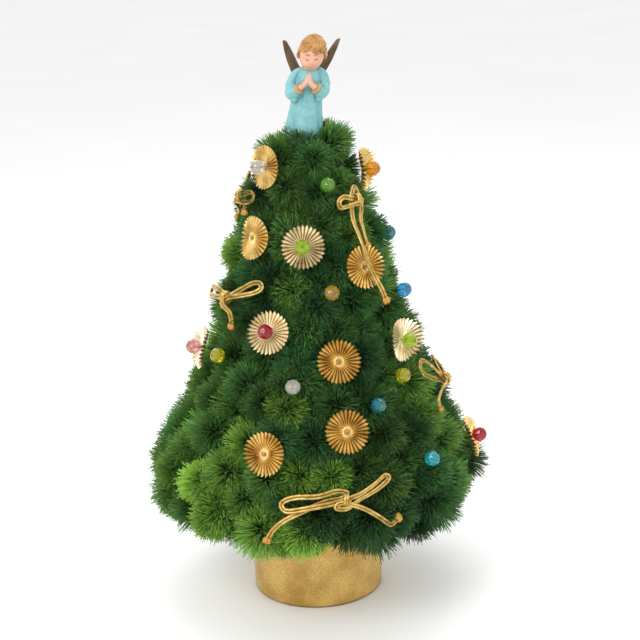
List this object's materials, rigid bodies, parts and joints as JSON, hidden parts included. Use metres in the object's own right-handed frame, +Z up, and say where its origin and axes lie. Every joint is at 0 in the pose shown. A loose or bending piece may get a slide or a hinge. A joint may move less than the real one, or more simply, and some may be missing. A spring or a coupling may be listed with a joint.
{
  "type": "artificial tabletop tree",
  "caption": "Tabletop brush-pick tree in a gilt pot, with foil rosettes, beads on pins, metallic cord bows and a lift-off angel topper.",
  "frame": {"origin": "on the table under the middle of the pot", "axes": "+Z up, -Y to the front, +X to the right of the front view"},
  "size_m": [0.2293, 0.2295, 0.3797],
  "materials": {
    "angel_paint": "hand painted, satin",
    "bead_amber": "clear faceted, polished",
    "bead_blue": "clear faceted, polished",
    "bead_clear": "clear faceted, polished",
    "bead_cyan": "clear faceted, polished",
    "bead_green": "clear faceted, polished",
    "bead_lime": "clear faceted, polished",
    "bead_orange": "clear faceted, polished",
    "bead_pink": "clear faceted, polished",
    "bead_red": "clear faceted, polished",
    "bead_teal": "clear faceted, polished",
    "bead_yellow": "clear faceted, polished",
    "bronze_paint": "bronze paint, satin",
    "champagne_foil": "pleated, satin, pale gold",
    "dowel_wood": "sawn, plain",
    "gilt_paint": "satin gold paint, fine speckle",
    "gold_foil": "pleated, satin, aged gold",
    "green_bristle": "fine matte bristles",
    "green_foam": "open foam, matte",
    "metallic_cord": "metallic thread, twisted",
    "pin_steel": "bright",
    "plaster": "cast, matte"
  },
  "bodies": {
    "tree": {"bead_pin_back_green": "bead_green", "bead_pin_back_high": "bead_amber", "bead_pin_back_low": "bead_blue", "bead_pin_back_pink": "bead_pink", "bead_pin_crown_left": "bead_clear", "bead_pin_crown_right": "bead_orange", "bead_pin_front_amber": "bead_amber", "bead_pin_front_clear": "bead_clear", "bead_pin_front_teal": "bead_teal", "bead_pin_left_yellow": "bead_yellow", "bead_pin_lower_cyan": "bead_cyan", "bead_pin_lower_side": "bead_red", "bead_pin_middle_left": "bead_red", "bead_pin_middle_right": "bead_lime", "bead_pin_middle_side": "bead_pink", "bead_pin_right_blue": "bead_blue", "bead_pin_right_yellow": "bead_yellow", "bead_pin_upper_front": "bead_lime", "bead_pin_upper_green": "bead_green", "bead_pin_upper_teal": "bead_teal", "bow_back": "metallic_cord", "bow_crown_left": "metallic_cord", "bow_crown_right": "metallic_cord", "bow_front": "metallic_cord", "bow_left": "metallic_cord", "bow_right": "metallic_cord", "foam_cone": "green_foam", "foliage_row_1": "green_bristle", "foliage_row_2": "green_bristle", "foliage_row_3": "green_bristle", "foliage_row_4": "green_bristle", "foliage_row_5": "green_bristle", "foliage_row_6": "green_bristle", "foliage_row_7": "green_bristle", "foliage_row_8": "green_bristle", "pin_lower_front": "pin_steel", "pin_lower_left": "pin_steel", "pin_middle_front": "pin_steel", "pin_upper_left": "pin_steel", "pin_upper_right": "pin_steel", "plaster_weight": "plaster", "pot": "gilt_paint", "rosette_crown_right": "gold_foil", "rosette_lower_side": "gold_foil", "rosette_middle_right": "champagne_foil", "rosette_middle_side": "champagne_foil", "rosette_upper_left": "gold_foil", "rosette_upper_right": "gold_foil", "trunk_dowel": "dowel_wood"},
    "angel": {"angel_figure": "angel_paint", "angel_peg": "dowel_wood", "angel_wings": "bronze_paint"},
    "rosette_crown_left": {"rosette_crown_left": "gold_foil"},
    "rosette_upper_front": {"rosette_upper_front": "champagne_foil"},
    "rosette_middle_left": {"rosette_middle_left": "champagne_foil"},
    "rosette_middle_front": {"rosette_middle_front": "gold_foil"},
    "rosette_lower_front": {"rosette_lower_front": "gold_foil"},
    "rosette_lower_left": {"rosette_lower_left": "gold_foil"},
    "rosette_back_high": {"rosette_back_high": "champagne_foil"},
    "rosette_back_low": {"rosette_back_low": "gold_foil"}
  },
  "joints": [
    {"name": "angel_lift", "type": "slide", "parent": "tree", "child": "angel", "axis": [0.1219, 0, 0.9925], "range_m": [0, 0.03]},
    {"name": "crown_left_spin", "type": "hinge", "parent": "tree", "child": "rosette_crown_left", "pos_m": [-0.0251, -0.02448, 0.30123], "axis": [-0.7586, -0.6365, 0.1392], "continuous": true},
    {"name": "upper_front_spin", "type": "hinge", "parent": "tree", "child": "rosette_upper_front", "pos_m": [-0.00217, -0.05058, 0.25444], "axis": [-0.0335, -0.9607, 0.2756], "continuous": true},
    {"name": "middle_left_spin", "type": "hinge", "parent": "tree", "child": "rosette_middle_left", "pos_m": [-0.02586, -0.06439, 0.20322], "axis": [-0.3125, -0.8585, 0.4067], "continuous": true},
    {"name": "middle_front_spin", "type": "hinge", "parent": "tree", "child": "rosette_middle_front", "pos_m": [0.01804, -0.07121, 0.18483], "axis": [0.1308, -0.9305, 0.342], "continuous": true},
    {"name": "lower_front_spin", "type": "hinge", "parent": "tree", "child": "rosette_lower_front", "pos_m": [0.02167, -0.09128, 0.14528], "axis": [0.0982, -0.9345, 0.342], "continuous": true},
    {"name": "lower_left_spin", "type": "hinge", "parent": "tree", "child": "rosette_lower_left", "pos_m": [-0.03059, -0.09404, 0.13331], "axis": [-0.4214, -0.864, 0.2756], "continuous": true},
    {"name": "back_high_spin", "type": "hinge", "parent": "tree", "child": "rosette_back_high", "pos_m": [0.01194, 0.05618, 0.23438], "axis": [0.1977, 0.9303, 0.309], "continuous": true},
    {"name": "back_low_spin", "type": "hinge", "parent": "tree", "child": "rosette_back_low", "pos_m": [-0.03522, 0.08718, 0.14359], "axis": [-0.3563, 0.8818, 0.309], "continuous": true}
  ]
}
